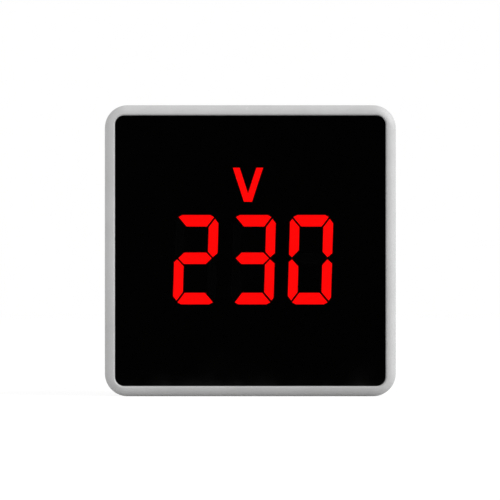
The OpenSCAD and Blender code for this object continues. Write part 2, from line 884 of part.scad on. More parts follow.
// One pin: a rounded tip, a seat in the end wall, a flange inside it and a cupped tail
module pin() color("lightgray") {
    difference() {
        turned() {
            difference() {
                translate([0, flange_y]) square([pin_d/2, pin_len - flange_y]);
                off_corner(pin_d/2, pin_len, pin_tip_r, 1, 1);
            }
            translate([0, flange_y]) square([pin_seat_d/2, -flange_y]);
            translate([0, flange_y]) square([flange_d/2, flange_t]);
            translate([0, tail_end_y]) square([tail_d/2, tail_len + cut]);
        }
        rod(tail_d/2, tail_end_y - cut, tail_end_y + tail_len/3);
    }
}

module left_pin() at(-pin_pitch/2, 0) pin();
module right_pin() at(pin_pitch/2, 0) pin();

retainer_r = 1.5;

module pin_retainer() color("white") {
    plate(retainer_y, flange_y) difference() {
        round_rect(retainer_l, retainer_h, retainer_r);
        for (i = [-1, 1]) translate([i*pin_pitch/2, 0]) circle(d = tail_d + 4*slip);
        circle(d = board_screw_d + 2*slip);
    }
}

module retainer_screw() color("silver") {
    reach = retainer_t + flange_t + end_wall/2 - 2*slip;
    translate([0, retainer_y, 0]) rotate([180, 0, 0])
        screw(board_screw_d, reach, board_screw_head_d, board_screw_head_h);
}

// Where a wire leaves the power board, outside and above the pin's tail
wire_out = 2.9;
wire_up = 3.4;
wire_rings = 16;
wire_sides = 12;

// The rise of an S-curve from 0 to 1, and its slope
function ease(s) = s*s*(3 - 2*s);
function ease_slope(s) = 6*s*(1 - s);

// One ring of points around the wire's line, which runs from shift to zero between y0 and y1
function wire_ring(s, shift, y0, y1) = let (
        across = [1, shift*ease_slope(s)/(y1 - y0)]/norm([1, shift*ease_slope(s)/(y1 - y0)]),
        centre = [shift*(1 - ease(s)), y0 + s*(y1 - y0)]
    ) [for (j = [0:wire_sides - 1]) let (
        side = wire_d/2*cos(360*j/wire_sides),
        rise = wire_d/2*sin(360*j/wire_sides)
    ) [centre[0] + side*across[0], centre[1] + side*across[1], rise]];

// A wire from the power board to a pin's tail, one S-curve in a plane
module wire(side) {
    shift = norm([wire_out, wire_up]);
    n = wire_sides;
    rings = [for (i = [0:wire_rings])
        each wire_ring(i/wire_rings, shift, power_board_back_y, tail_end_y - pin_slip)];
    skin = [for (i = [0:wire_rings - 1], j = [0:n - 1])
        [i*n + j, (i + 1)*n + j, (i + 1)*n + (j + 1) % n, i*n + (j + 1) % n]];
    ends = [[for (j = [0:n - 1]) j], [for (j = [n - 1:-1:0]) wire_rings*n + j]];
    at(side*pin_pitch/2, 0) rotate([0, -atan2(wire_up, side*wire_out), 0])
        polyhedron(points = rings, faces = concat(skin, ends));
}

module left_wire() color("saddlebrown") wire(-1);
module right_wire() color("steelblue") wire(1);

front_case();
rear_case();
case_screws();
face_tape();
display_face();
hundreds_segments();
tens_segments();
units_segments();
dark_segments();
unit_sign();
reflector();
display_board();
lamp_chips();
driver_chip();
chip_resistors();
header_strip();
header_pins();
power_board();
board_screws();
film_capacitor();
smoothing_capacitor();
bridge_rectifier();
varistor();
fuse_resistor();
zener_diode();
plug_body();
left_pin();
right_pin();
pin_retainer();
retainer_screw();
left_wire();
right_wire();
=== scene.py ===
import math

import bmesh
import bpy
from mathutils import Matrix, Vector


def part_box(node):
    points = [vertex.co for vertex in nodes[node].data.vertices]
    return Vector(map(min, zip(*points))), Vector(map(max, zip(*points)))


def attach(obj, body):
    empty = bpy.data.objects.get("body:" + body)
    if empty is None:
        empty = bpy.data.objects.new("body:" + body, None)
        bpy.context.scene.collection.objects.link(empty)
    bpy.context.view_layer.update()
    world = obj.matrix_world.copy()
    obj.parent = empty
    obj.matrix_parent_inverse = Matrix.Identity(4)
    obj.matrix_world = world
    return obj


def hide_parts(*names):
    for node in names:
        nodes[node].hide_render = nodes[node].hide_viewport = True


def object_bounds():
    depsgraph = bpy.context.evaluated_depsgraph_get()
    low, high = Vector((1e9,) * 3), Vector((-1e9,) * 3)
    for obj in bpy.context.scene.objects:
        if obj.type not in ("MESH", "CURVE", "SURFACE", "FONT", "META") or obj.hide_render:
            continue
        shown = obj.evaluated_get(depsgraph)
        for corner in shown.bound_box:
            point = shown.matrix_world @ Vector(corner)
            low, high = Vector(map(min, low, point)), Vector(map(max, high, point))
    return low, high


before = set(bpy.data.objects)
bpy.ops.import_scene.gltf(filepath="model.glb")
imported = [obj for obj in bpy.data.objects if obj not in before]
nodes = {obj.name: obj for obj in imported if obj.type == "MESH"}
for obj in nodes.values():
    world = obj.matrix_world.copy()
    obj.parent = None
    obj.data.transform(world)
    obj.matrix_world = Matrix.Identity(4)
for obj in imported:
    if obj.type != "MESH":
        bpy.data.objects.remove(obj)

# A plug-in mains voltmeter: a pale square case with a lit display in front and a round plug behind.
# Metres throughout, in the part's own frame: +Y points into the outlet, +Z is up.

cadLow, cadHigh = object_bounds()
mm = 0.001
sharpAngle = math.radians(40)  # faces that meet more sharply than this keep an edge between them
bpy.context.scene.view_settings.view_transform = "Standard"
print("frame: " + str(len(nodes)) + " nodes")


# Small helpers

def hexColor(code):  # an sRGB hex value as linear red, green, blue and alpha
    channels = [int(code[i:i + 2], 16) / 255 for i in (1, 3, 5)]
    return [c / 12.92 if c <= 0.04045 else ((c + 0.055) / 1.055) ** 2.4 for c in channels] + [1.0]


def perMm(size):  # a texture's scale for features this many millimetres apart
    return 1 / (size * mm)


def waveScale(size):  # a Wave texture's scale; its bands come 6 to 7 times this many millimetres apart
    return perMm(size) / 20


noiseLow, noiseHigh = 0.3, 0.7  # nearly all of a Noise texture lies between these levels


def addNode(tree, kind, inputs=None, **settings):  # one node, with a value or a link for each socket
    node = tree.nodes.new(kind)
    for name, value in settings.items():
        setattr(node, name, value)
    for socket, value in (inputs or {}).items():
        if isinstance(value, bpy.types.NodeSocket):
            tree.links.new(value, node.inputs[socket])
        else:
            node.inputs[socket].default_value = value
    return node


def startMaterial(name, **surface):  # a Principled surface; what is the same all over is set on its sockets
    material = bpy.data.materials.new(name)
    material.use_nodes = True
    tree = material.node_tree
    tree.nodes.clear()
    shader = addNode(tree, "ShaderNodeBsdfPrincipled", surface)
    addNode(tree, "ShaderNodeOutputMaterial", {"Surface": shader.outputs["BSDF"]})
    place = addNode(tree, "ShaderNodeTexCoord").outputs["Object"]
    return material, tree, shader, place


def paint(material, *names):  # gives a finish to nodes of the frame
    for name in names:
        nodes[name].material_slots[0].material = material


mixA, mixB, mixResult = 6, 7, 2  # the colour inputs of a Mix node, and its colour output


def mixColors(tree, factor, first, second, blend="MIX"):
    node = addNode(tree, "ShaderNodeMix", {
        0: factor, mixA: first, mixB: second}, data_type="RGBA", blend_type=blend)
    return node.outputs[mixResult]


def ringShell(name, rings):  # a closed shell through rings of points, with a flat cap at each end
    shell = bmesh.new()
    rows = [[shell.verts.new(point) for point in ring] for ring in rings]
    count = len(rows[0])
    for lower, upper in zip(rows, rows[1:]):
        for i in range(count):
            j = (i + 1) % count
            shell.faces.new((lower[i], lower[j], upper[j], upper[i]))
    shell.faces.new(rows[0])
    shell.faces.new(rows[-1])
    bmesh.ops.recalc_face_normals(shell, faces=shell.faces)
    mesh = bpy.data.meshes.new(name)
    shell.to_mesh(mesh)
    shell.free()
    mesh.shade_smooth()
    mesh.set_sharp_from_angle(angle=sharpAngle)
    seed = bpy.data.objects.new(name, mesh)
    bpy.context.scene.collection.objects.link(seed)
    return seed


def circlePoints(radius, y, sides):  # a ring about the Y axis
    turns = [2 * math.pi * i / sides for i in range(sides)]
    return [Vector((radius * math.cos(t), y, radius * math.sin(t))) for t in turns]


def startTree(name, sizes):  # a geometry tree with named inputs: name, kind and starting value
    tree = bpy.data.node_groups.new(name, "GeometryNodeTree")
    tree.interface.new_socket("Geometry", in_out="INPUT", socket_type="NodeSocketGeometry")
    tree.interface.new_socket("Geometry", in_out="OUTPUT", socket_type="NodeSocketGeometry")
    for label, kind, start in sizes:
        socket = tree.interface.new_socket(label, in_out="INPUT", socket_type=kind)
        if start is not None:
            socket.default_value = start
    return tree, tree.nodes.new("NodeGroupInput").outputs


def finishTree(tree, geometry, finish):  # real mesh and its finish, as the last two steps of every tree
    solid = addNode(tree, "GeometryNodeRealizeInstances", {"Geometry": geometry})
    painted = addNode(tree, "GeometryNodeSetMaterial", {"Geometry": solid.outputs[0], "Material": finish})
    addNode(tree, "NodeGroupOutput", {"Geometry": painted.outputs[0]})


def growPiece(name, tree, values, places=()):  # runs a tree on a set of places and keeps the plain mesh
    start = bpy.data.meshes.new(name)
    start.from_pydata([tuple(place) for place in places], [], [])
    piece = bpy.data.objects.new(name, start)
    bpy.context.scene.collection.objects.link(piece)
    modifier = piece.modifiers.new("shape", "NODES")
    modifier.node_group = tree
    for item in tree.interface.items_tree:
        if item.in_out == "INPUT" and item.name in values:
            modifier[item.identifier] = values[item.name]
    depsgraph = bpy.context.evaluated_depsgraph_get()
    depsgraph.update()
    piece.data = bpy.data.meshes.new_from_object(piece.evaluated_get(depsgraph))
    piece.modifiers.clear()
    return piece


def addPiece(piece, slot, *replaced):  # a finished piece joins the part's one body
    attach(piece, "root")
    if replaced:
        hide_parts(*replaced)


# Case: ABS moulded in a finely spark-eroded tool, satin to the eye, a little polished where hands reach

caseFinish = {
    "color": "#BDBDBD",
    "wornColor": "#C9C9C9",
    "dirtAndShadeColor": "#8E8C88",
    "roughness": 0.52,
    "wornRoughness": 0.36,
    "grainMm": 0.22,  # the tool's grain is about 0.05 mm, drawn coarser so that it shows
    "grainHeightMm": 0.006,
    "mottleMm": 5.0,  # flow of the melt
    "mottleLeast": 0.95,
    "mottleMost": 1.035,
    "scuffMm": 0.8,  # small pale scuffs from handling
    "scuffFrom": 0.68,  # the noise's level where a scuff begins, so that they stay rare
    "scuffTo": 0.73,
    "scuffMost": 0.9,
    "edgeMm": 0.25,  # radius of the worn edges
    "edgeFrom": 0.99,  # cosine of the bend at which an edge begins to be worn
    "edgeTo": 0.8,
    # the band along the seam between the two shells is darker: dirt and painted shade
    "seamDepthMm": 9.0,
    "seamDirtAndShadeMm": 0.35,
    "seamDirtAndShadeMost": 0.45,
    "rubMm": 0.3,  # marks of the outlet's contacts along the plug
    "rubLengthMm": 9.0,
    "rubFrom": 0.6,
    "rubTo": 0.75,
    "rubMost": 0.6,
}


def makeCaseAbs(name, rubbed):
    look = caseFinish
    material, tree, shader, place = startMaterial(name, **{"IOR": 1.53})
    grain = addNode(tree, "ShaderNodeTexNoise", {
        "Vector": place, "Scale": perMm(look["grainMm"]), "Detail": 3.0, "Roughness": 0.6})
    mottle = addNode(tree, "ShaderNodeTexNoise", {
        "Vector": place, "Scale": perMm(look["mottleMm"]), "Detail": 4.0, "Roughness": 0.55})
    shade = addNode(tree, "ShaderNodeMapRange", {
        "Value": mottle.outputs["Fac"], "From Min": noiseLow, "From Max": noiseHigh,
        "To Min": look["mottleLeast"], "To Max": look["mottleMost"]})
    patches = addNode(tree, "ShaderNodeTexNoise", {
        "Vector": place, "Scale": perMm(look["scuffMm"]), "Detail": 3.0, "Roughness": 0.6})
    scuff = addNode(tree, "ShaderNodeMapRange", {
        "Value": patches.outputs["Fac"], "From Min": look["scuffFrom"], "From Max": look["scuffTo"],
        "To Min": 0.0, "To Max": look["scuffMost"]})
    rounded = addNode(tree, "ShaderNodeBevel", {"Radius": look["edgeMm"] * mm}, samples=4)
    flat = addNode(tree, "ShaderNodeNewGeometry")
    alike = addNode(tree, "ShaderNodeVectorMath", {
        0: rounded.outputs["Normal"], 1: flat.outputs["Normal"]}, operation="DOT_PRODUCT")
    edge = addNode(tree, "ShaderNodeMapRange", {
        "Value": alike.outputs["Value"], "From Min": look["edgeFrom"], "From Max": look["edgeTo"],
        "To Min": 0.0, "To Max": 1.0})
    worn = addNode(tree, "ShaderNodeMath", {
        0: edge.outputs["Result"], 1: mottle.outputs["Fac"]}, operation="MULTIPLY")
    spot = addNode(tree, "ShaderNodeSeparateXYZ", {"Vector": place})
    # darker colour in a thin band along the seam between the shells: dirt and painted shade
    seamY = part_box("front_case")[0].y + look["seamDepthMm"] * mm
    fromSeam = addNode(tree, "ShaderNodeMath", {0: spot.outputs["Y"], 1: seamY}, operation="SUBTRACT")
    distance = addNode(tree, "ShaderNodeMath", {0: fromSeam.outputs["Value"]}, operation="ABSOLUTE")
    dirtAndShade = addNode(tree, "ShaderNodeMapRange", {
        "Value": distance.outputs["Value"], "From Min": 0.0, "From Max": look["seamDirtAndShadeMm"] * mm,
        "To Min": look["seamDirtAndShadeMost"], "To Max": 0.0})
    wear = addNode(tree, "ShaderNodeMath", {
        0: worn.outputs["Value"], 1: scuff.outputs["Result"]}, operation="MAXIMUM")
    wearAmount = wear.outputs["Value"]
    if rubbed:  # the outlet rubs the plug along its length, so the marks are drawn out along Y
        lengthways = addNode(tree, "ShaderNodeMapping", {
            "Vector": place,
            "Scale": (perMm(look["rubMm"]), perMm(look["rubLengthMm"]), perMm(look["rubMm"]))})
        rub = addNode(tree, "ShaderNodeTexNoise", {
            "Vector": lengthways.outputs["Vector"], "Scale": 1.0, "Detail": 2.0, "Roughness": 0.7})
        mark = addNode(tree, "ShaderNodeMapRange", {
            "Value": rub.outputs["Fac"], "From Min": look["rubFrom"], "From Max": look["rubTo"],
            "To Min": 0.0, "To Max": look["rubMost"]})
        most = addNode(tree, "ShaderNodeMath", {
            0: wearAmount, 1: mark.outputs["Result"]}, operation="MAXIMUM")
        wearAmount = most.outputs["Value"]
    base = mixColors(tree, 1.0, hexColor(look["color"]), shade.outputs["Result"], "MULTIPLY")
    rubbedColor = mixColors(tree, wearAmount, base, hexColor(look["wornColor"]))
    dirtiedAndShaded = mixColors(tree, dirtAndShade.outputs["Result"], rubbedColor, hexColor(look["dirtAndShadeColor"]))
    gloss = addNode(tree, "ShaderNodeMapRange", {
        "Value": wearAmount, "From Min": 0.0, "From Max": 1.0,
        "To Min": look["roughness"], "To Max": look["wornRoughness"]})
    relief = addNode(tree, "ShaderNodeBump", {
        "Strength": 0.5, "Distance": look["grainHeightMm"] * mm,
        "Height": grain.outputs["Fac"], "Normal": rounded.outputs["Normal"]})
    tree.links.new(dirtiedAndShaded, shader.inputs["Base Color"])
    tree.links.new(gloss.outputs["Result"], shader.inputs["Roughness"])
    tree.links.new(relief.outputs["Normal"], shader.inputs["Normal"])
    return material


paint(makeCaseAbs("case ABS, fine grain", False), "front_case", "rear_case")
paint(makeCaseAbs("plug ABS, fine grain, rubbed", True), "plug_body")
print("case: grained ABS on both shells and the plug body")


# Display: a black acrylic face, polished, with cast resin pipes that the lamps behind light up

faceFinish = {
    "color": "#020202",
    "roughness": 0.06,
    "hazeRoughness": 0.13,  # where a finger has touched it
    "hazeMm": 7.0,
    "hazeFrom": 0.45,
    "hazeTo": 0.75,
    "waveMm": 12.0,  # an acrylic sheet is never quite flat
    "waveHeightMm": 0.004,
}

pipeFinish = {
    "litColor": "#FF0000",
    "castColor": "#560000",
    "darkColor": "#020202",
    "strength": 1.0,
    "roughness": 0.2,
    "grainMm": 0.15,  # diffusing grains in the resin
    "grainLeast": 0.8,
    "grainMost": 1.1,
}


def makeBlackAcrylic():
    look = faceFinish
    material, tree, shader, place = startMaterial("black acrylic, polished", **{
        "Base Color": hexColor(look["color"]), "IOR": 1.49})
    haze = addNode(tree, "ShaderNodeTexNoise", {
        "Vector": place, "Scale": perMm(look["hazeMm"]), "Detail": 5.0, "Roughness": 0.6})
    gloss = addNode(tree, "ShaderNodeMapRange", {
        "Value": haze.outputs["Fac"], "From Min": look["hazeFrom"], "From Max": look["hazeTo"],
        "To Min": look["roughness"], "To Max": look["hazeRoughness"]})
    wave = addNode(tree, "ShaderNodeTexNoise", {
        "Vector": place, "Scale": perMm(look["waveMm"]), "Detail": 1.0})
    relief = addNode(tree, "ShaderNodeBump", {
        "Strength": 1.0, "Distance": look["waveHeightMm"] * mm, "Height": wave.outputs["Fac"]})
    tree.links.new(gloss.outputs["Result"], shader.inputs["Roughness"])
    tree.links.new(relief.outputs["Normal"], shader.inputs["Normal"])
    return material


def makeCastResin(name, color, **glow):  # cast against a release film, so it is satin with fine grains in it
    look = pipeFinish
    material, tree, shader, place = startMaterial(name, **{
        "Roughness": look["roughness"], "IOR": 1.52, **glow})
    grains = addNode(tree, "ShaderNodeTexNoise", {
        "Vector": place, "Scale": perMm(look["grainMm"]), "Detail": 2.0})
    shade = addNode(tree, "ShaderNodeMapRange", {
        "Value": grains.outputs["Fac"], "From Min": noiseLow, "From Max": noiseHigh,
        "To Min": look["grainLeast"], "To Max": look["grainMost"]})
    cast = mixColors(tree, 1.0, hexColor(color), shade.outputs["Result"], "MULTIPLY")
    tree.links.new(cast, shader.inputs["Base Color"])
    return material


litResin = makeCastResin("red diffusing resin, lit", pipeFinish["castColor"], **{
    "Emission Color": hexColor(pipeFinish["litColor"]), "Emission Strength": pipeFinish["strength"]})
paint(makeBlackAcrylic(), "display_face")
paint(litResin, "hundreds_segments", "tens_segments", "units_segments", "unit_sign")
paint(makeCastResin("smoked resin, unlit", pipeFinish["darkColor"]), "dark_segments")
print("display: black face, lit and unlit light pipes")


# Metals: nickel, zinc and gold plate, tin solder and copper

pinFinish = {
    "color": "#CFCBC3",  # bright nickel over turned brass
    "brassColor": "#C9A763",
    "roughness": 0.2,
    "scratchedRoughness": 0.36,
    "turnedMm": 0.12,
    "turnedHeightMm": 0.0012,
    "scratchMm": 0.12,
    "scratchLengthMm": 7.0,
    "scratchFrom": 0.55,
    "scratchTo": 0.7,
    "brassFromMm": 15.5,  # the plating wears thin near the tip
    "brassMost": 0.55,
}

zincFinish = {
    "color": "#B4B8BC",
    "blotchMm": 0.9,
    "blotchLeast": 0.85,
    "blotchMost": 1.05,
    "roughnessLeast": 0.28,
    "roughnessMost": 0.46,
}

goldFinish = {
    "color": "#D9B25C",
    "drawnMm": 0.08,  # fine lines from drawing the wire
    "drawnLengthMm": 3.0,
    "roughnessLeast": 0.18,
    "roughnessMost": 0.36,
}

solderFinish = {
    "color": "#C4C6C8",
    "roughness": 0.22,
    "frostMm": 0.3,
    "frostFrom": 0.35,
    "frostTo": 0.7,
    "frostRoughness": 0.52,
}

copperFinish = {
    "color": "#B8734A",
    "roughness": 0.34,
    "strandMm": 0.2,
    "strandHeightMm": 0.03,
}


def makeNickelPlate():
    look = pinFinish
    material, tree, shader, place = startMaterial("nickel-plated brass, turned", **{"Metallic": 1.0})
    spot = addNode(tree, "ShaderNodeSeparateXYZ", {"Vector": place})
    along = addNode(tree, "ShaderNodeCombineXYZ", {"Y": spot.outputs["Y"]})  # rings follow the lathe's feed
    turned = addNode(tree, "ShaderNodeTexNoise", {
        "Vector": along.outputs["Vector"], "Scale": perMm(look["turnedMm"]), "Detail": 2.0})
    drawn = addNode(tree, "ShaderNodeMapping", {
        "Vector": place,
        "Scale": (perMm(look["scratchMm"]), perMm(look["scratchLengthMm"]), perMm(look["scratchMm"]))})
    scratch = addNode(tree, "ShaderNodeTexNoise", {
        "Vector": drawn.outputs["Vector"], "Scale": 1.0, "Detail": 3.0, "Roughness": 0.7})
    line = addNode(tree, "ShaderNodeMapRange", {
        "Value": scratch.outputs["Fac"], "From Min": look["scratchFrom"], "From Max": look["scratchTo"],
        "To Min": 0.0, "To Max": 1.0})
    towardsTip = addNode(tree, "ShaderNodeMapRange", {
        "Value": spot.outputs["Y"], "From Min": look["brassFromMm"] * mm,
        "From Max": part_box("left_pin")[1].y, "To Min": 0.0, "To Max": look["brassMost"]})
    thin = addNode(tree, "ShaderNodeMath", {
        0: towardsTip.outputs["Result"], 1: scratch.outputs["Fac"]}, operation="MULTIPLY")
    plate = mixColors(tree, thin.outputs["Value"], hexColor(look["color"]), hexColor(look["brassColor"]))
    gloss = addNode(tree, "ShaderNodeMapRange", {
        "Value": line.outputs["Result"], "From Min": 0.0, "From Max": 1.0,
        "To Min": look["roughness"], "To Max": look["scratchedRoughness"]})
    relief = addNode(tree, "ShaderNodeBump", {
        "Strength": 1.0, "Distance": look["turnedHeightMm"] * mm, "Height": turned.outputs["Fac"]})
    tree.links.new(plate, shader.inputs["Base Color"])
    tree.links.new(gloss.outputs["Result"], shader.inputs["Roughness"])
    tree.links.new(relief.outputs["Normal"], shader.inputs["Normal"])
    return material


def makeZincPlate():  # blue-passivated zinc: a blotchy bright grey
    look = zincFinish
    material, tree, shader, place = startMaterial("zinc-plated steel, passivated", **{"Metallic": 1.0})
    blotch = addNode(tree, "ShaderNodeTexNoise", {
        "Vector": place, "Scale": perMm(look["blotchMm"]), "Detail": 3.0})
    shade = addNode(tree, "ShaderNodeMapRange", {
        "Value": blotch.outputs["Fac"], "From Min": noiseLow, "From Max": noiseHigh,
        "To Min": look["blotchLeast"], "To Max": look["blotchMost"]})
    plate = mixColors(tree, 1.0, hexColor(look["color"]), shade.outputs["Result"], "MULTIPLY")
    gloss = addNode(tree, "ShaderNodeMapRange", {
        "Value": blotch.outputs["Fac"], "From Min": noiseLow, "From Max": noiseHigh,
        "To Min": look["roughnessLeast"], "To Max": look["roughnessMost"]})
    tree.links.new(plate, shader.inputs["Base Color"])
    tree.links.new(gloss.outputs["Result"], shader.inputs["Roughness"])
    return material


def makeGoldPlate():
    look = goldFinish
    material, tree, shader, place = startMaterial("gold-flashed brass, drawn", **{
        "Metallic": 1.0, "Base Color": hexColor(look["color"])})
    drawn = addNode(tree, "ShaderNodeMapping", {
        "Vector": place,
        "Scale": (perMm(look["drawnMm"]), perMm(look["drawnLengthMm"]), perMm(look["drawnMm"]))})
    line = addNode(tree, "ShaderNodeTexNoise", {"Vector": drawn.outputs["Vector"], "Scale": 1.0})
    gloss = addNode(tree, "ShaderNodeMapRange", {
        "Value": line.outputs["Fac"], "From Min": noiseLow, "From Max": noiseHigh,
        "To Min": look["roughnessLeast"], "To Max": look["roughnessMost"]})
    tree.links.new(gloss.outputs["Result"], shader.inputs["Roughness"])
    return material


def makeSolder():  # tin solder: bright, a little frosted where it cooled
    look = solderFinish
    material, tree, shader, place = startMaterial("tin solder", **{
        "Metallic": 1.0, "Base Color": hexColor(look["color"])})
    frost = addNode(tree, "ShaderNodeTexNoise", {
        "Vector": place, "Scale": perMm(look["frostMm"]), "Detail": 4.0})
    gloss = addNode(tree, "ShaderNodeMapRange", {
        "Value": frost.outputs["Fac"], "From Min": look["frostFrom"], "From Max": look["frostTo"],
        "To Min": look["roughness"], "To Max": look["frostRoughness"]})
    tree.links.new(gloss.outputs["Result"], shader.inputs["Roughness"])
    return material


def makeCopperStrand():  # tinned at its end in use, but bare copper where it leaves the insulation
    look = copperFinish
    material, tree, shader, place = startMaterial("copper strand", **{
        "Metallic": 1.0, "Base Color": hexColor(look["color"]), "Roughness": look["roughness"]})
    strand = addNode(tree, "ShaderNodeTexWave", {
        "Vector": place, "Scale": waveScale(look["strandMm"]),
        "Distortion": 1.0}, bands_direction="DIAGONAL")
    relief = addNode(tree, "ShaderNodeBump", {
        "Strength": 0.6, "Distance": look["strandHeightMm"] * mm, "Height": strand.outputs["Fac"]})
    tree.links.new(relief.outputs["Normal"], shader.inputs["Normal"])
    return material


nickelPlate = makeNickelPlate()
zincPlate = makeZincPlate()
paint(nickelPlate, "left_pin", "right_pin")
paint(zincPlate, "case_screws", "board_screws", "retainer_screw")
paint(makeGoldPlate(), "header_pins")
print("metal: nickel, zinc and gold plate")


# Boards: glass-epoxy laminate under a green solder mask, the weave just showing and the tracks raised

boardFinish = {
    "color": "#0F5A2A",
    "trackColor": "#1E7A3C",
    "weaveMm": 0.5,
    "trackMm": 2.6,
    "trackShare": 0.1,  # of the spacing between tracks
    "trackEdgeShare": 0.115,  # where its edge has run out
    "trackHeightMm": 0.035,
    "weaveLeast": 0.86,
    "weaveMost": 1.06,
    "roughness": 0.3,
}


def makeCircuitBoard():
    look = boardFinish
    material, tree, shader, place = startMaterial("solder mask on glass epoxy", **{
        "IOR": 1.5, "Roughness": look["roughness"]})
    warp = addNode(tree, "ShaderNodeTexWave", {
        "Vector": place, "Scale": waveScale(look["weaveMm"])}, bands_direction="X")
    weft = addNode(tree, "ShaderNodeTexWave", {
        "Vector": place, "Scale": waveScale(look["weaveMm"])}, bands_direction="Z")
    weave = addNode(tree, "ShaderNodeMath", {
        0: warp.outputs["Fac"], 1: weft.outputs["Fac"]}, operation="MULTIPLY")
    nearest, runnerUp = [addNode(tree, "ShaderNodeTexVoronoi", {
        "Vector": place, "Scale": perMm(look["trackMm"]), "Randomness": 0.8},
        feature=feature, distance="CHEBYCHEV")
        for feature in ("F1", "F2")]  # where two places are equally near, the line between them runs square
    apart = addNode(tree, "ShaderNodeMath", {
        0: runnerUp.outputs["Distance"], 1: nearest.outputs["Distance"]}, operation="SUBTRACT")
    track = addNode(tree, "ShaderNodeMapRange", {
        "Value": apart.outputs["Value"], "From Min": look["trackShare"],
        "From Max": look["trackEdgeShare"], "To Min": 1.0, "To Max": 0.0})
    shade = addNode(tree, "ShaderNodeMapRange", {
        "Value": weave.outputs["Value"], "From Min": 0.0, "From Max": 1.0,
        "To Min": look["weaveLeast"], "To Max": look["weaveMost"]})
    mask = mixColors(tree, track.outputs["Result"], hexColor(look["color"]), hexColor(look["trackColor"]))
    woven = mixColors(tree, 1.0, mask, shade.outputs["Result"], "MULTIPLY")
    relief = addNode(tree, "ShaderNodeBump", {
        "Strength": 1.0, "Distance": look["trackHeightMm"] * mm, "Height": track.outputs["Result"]})
    tree.links.new(woven, shader.inputs["Base Color"])
    tree.links.new(relief.outputs["Normal"], shader.inputs["Normal"])
    return material


paint(makeCircuitBoard(), "display_board", "power_board")
print("boards: green solder mask")


# Resins, plastics and coats of the parts on the boards

coats = {
    "mouldedEpoxy": {"color": "#1B1B1C", "roughness": 0.62, "spotMm": 0.25, "heightMm": 0.01},
    "satinPolycarbonate": {"color": "#E9E8E2", "roughness": 0.4, "spotMm": 1.5, "heightMm": 0.004},
    "filmBox": {"color": "#D9A21B", "roughness": 0.28, "spotMm": 2.0, "heightMm": 0.004},
    "dippedEnamel": {"color": "#1F4FA8", "roughness": 0.24, "spotMm": 1.2, "heightMm": 0.03},
    "phosphor": {"color": "#E6D48A", "roughness": 0.3, "spotMm": 0.3, "heightMm": 0.005},
    "foamTape": {"color": "#2B2B2B", "roughness": 0.9, "spotMm": 0.3, "heightMm": 0.03},
    "brownPvc": {"color": "#5A3118", "roughness": 0.42, "spotMm": 0.8, "heightMm": 0.01},
    "bluePvc": {"color": "#1F5FA6", "roughness": 0.42, "spotMm": 0.8, "heightMm": 0.01},
}
coatChange = {"shadeLeast": 0.92, "shadeMost": 1.05, "glossier": 0.05, "duller": 0.06}  # the same for all


def makeCoat(kind):  # one opaque coat or resin: speckled colour over a low relief
    look = coats[kind]
    change = coatChange
    material, tree, shader, place = startMaterial(kind, **{"IOR": 1.5})
    spots = addNode(tree, "ShaderNodeTexNoise", {
        "Vector": place, "Scale": perMm(look["spotMm"]), "Detail": 3.0, "Roughness": 0.6})
    shade = addNode(tree, "ShaderNodeMapRange", {
        "Value": spots.outputs["Fac"], "From Min": noiseLow, "From Max": noiseHigh,
        "To Min": change["shadeLeast"], "To Max": change["shadeMost"]})
    coat = mixColors(tree, 1.0, hexColor(look["color"]), shade.outputs["Result"], "MULTIPLY")
    gloss = addNode(tree, "ShaderNodeMapRange", {
        "Value": spots.outputs["Fac"], "From Min": noiseLow, "From Max": noiseHigh,
        "To Min": look["roughness"] - change["glossier"], "To Max": look["roughness"] + change["duller"]})
    relief = addNode(tree, "ShaderNodeBump", {
        "Strength": 0.6, "Distance": look["heightMm"] * mm, "Height": spots.outputs["Fac"]})
    tree.links.new(coat, shader.inputs["Base Color"])
    tree.links.new(gloss.outputs["Result"], shader.inputs["Roughness"])
    tree.links.new(relief.outputs["Normal"], shader.inputs["Normal"])
    return material


canFinish = {
    "sleeveColor": "#20284A",
    "topColor": "#C9CBCE",
    "topRadiusMm": 3.3,
    "topDepthMm": 0.2,
    "roughness": 0.35,
}


def makeCapacitorCan():  # a shrunk PVC sleeve that leaves the aluminium end bare
    look = canFinish
    material, tree, shader, place = startMaterial("PVC sleeve on an aluminium can", **{
        "Roughness": look["roughness"]})
    low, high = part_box("smoothing_capacitor")
    centred = addNode(tree, "ShaderNodeMapping", {
        "Vector": place, "Location": (-(low.x + high.x) / 2, -high.y, -(low.z + high.z) / 2)})
    spot = addNode(tree, "ShaderNodeSeparateXYZ", {"Vector": centred.outputs["Vector"]})
    level = addNode(tree, "ShaderNodeCombineXYZ", {"X": spot.outputs["X"], "Z": spot.outputs["Z"]})
    radius = addNode(tree, "ShaderNodeVectorMath", {0: level.outputs["Vector"]}, operation="LENGTH")
    inside = addNode(tree, "ShaderNodeMath", {
        0: radius.outputs["Value"], 1: look["topRadiusMm"] * mm}, operation="LESS_THAN")
    atTop = addNode(tree, "ShaderNodeMath", {
        0: spot.outputs["Y"], 1: -look["topDepthMm"] * mm}, operation="GREATER_THAN")
    bare = addNode(tree, "ShaderNodeMath", {
        0: inside.outputs["Value"], 1: atTop.outputs["Value"]}, operation="MULTIPLY")
    skin = mixColors(tree, bare.outputs["Value"], hexColor(look["sleeveColor"]), hexColor(look["topColor"]))
    tree.links.new(skin, shader.inputs["Base Color"])
    tree.links.new(bare.outputs["Value"], shader.inputs["Metallic"])
    return material


bandedSurface = {"spotMm": 0.6, "heightMm": 0.02}
resistorFinish = {
    "color": "#2F7F5F",
    "roughness": 0.6,
    "bands": [
        (0.27, 0.06, "#5B3218"), (0.4, 0.06, "#111111"),
        (0.53, 0.06, "#111111"), (0.68, 0.06, "#B58A2B")],
}
diodeFinish = {"color": "#B5532A", "roughness": 0.15, "bands": [(0.64, 0.08, "#151515")]}


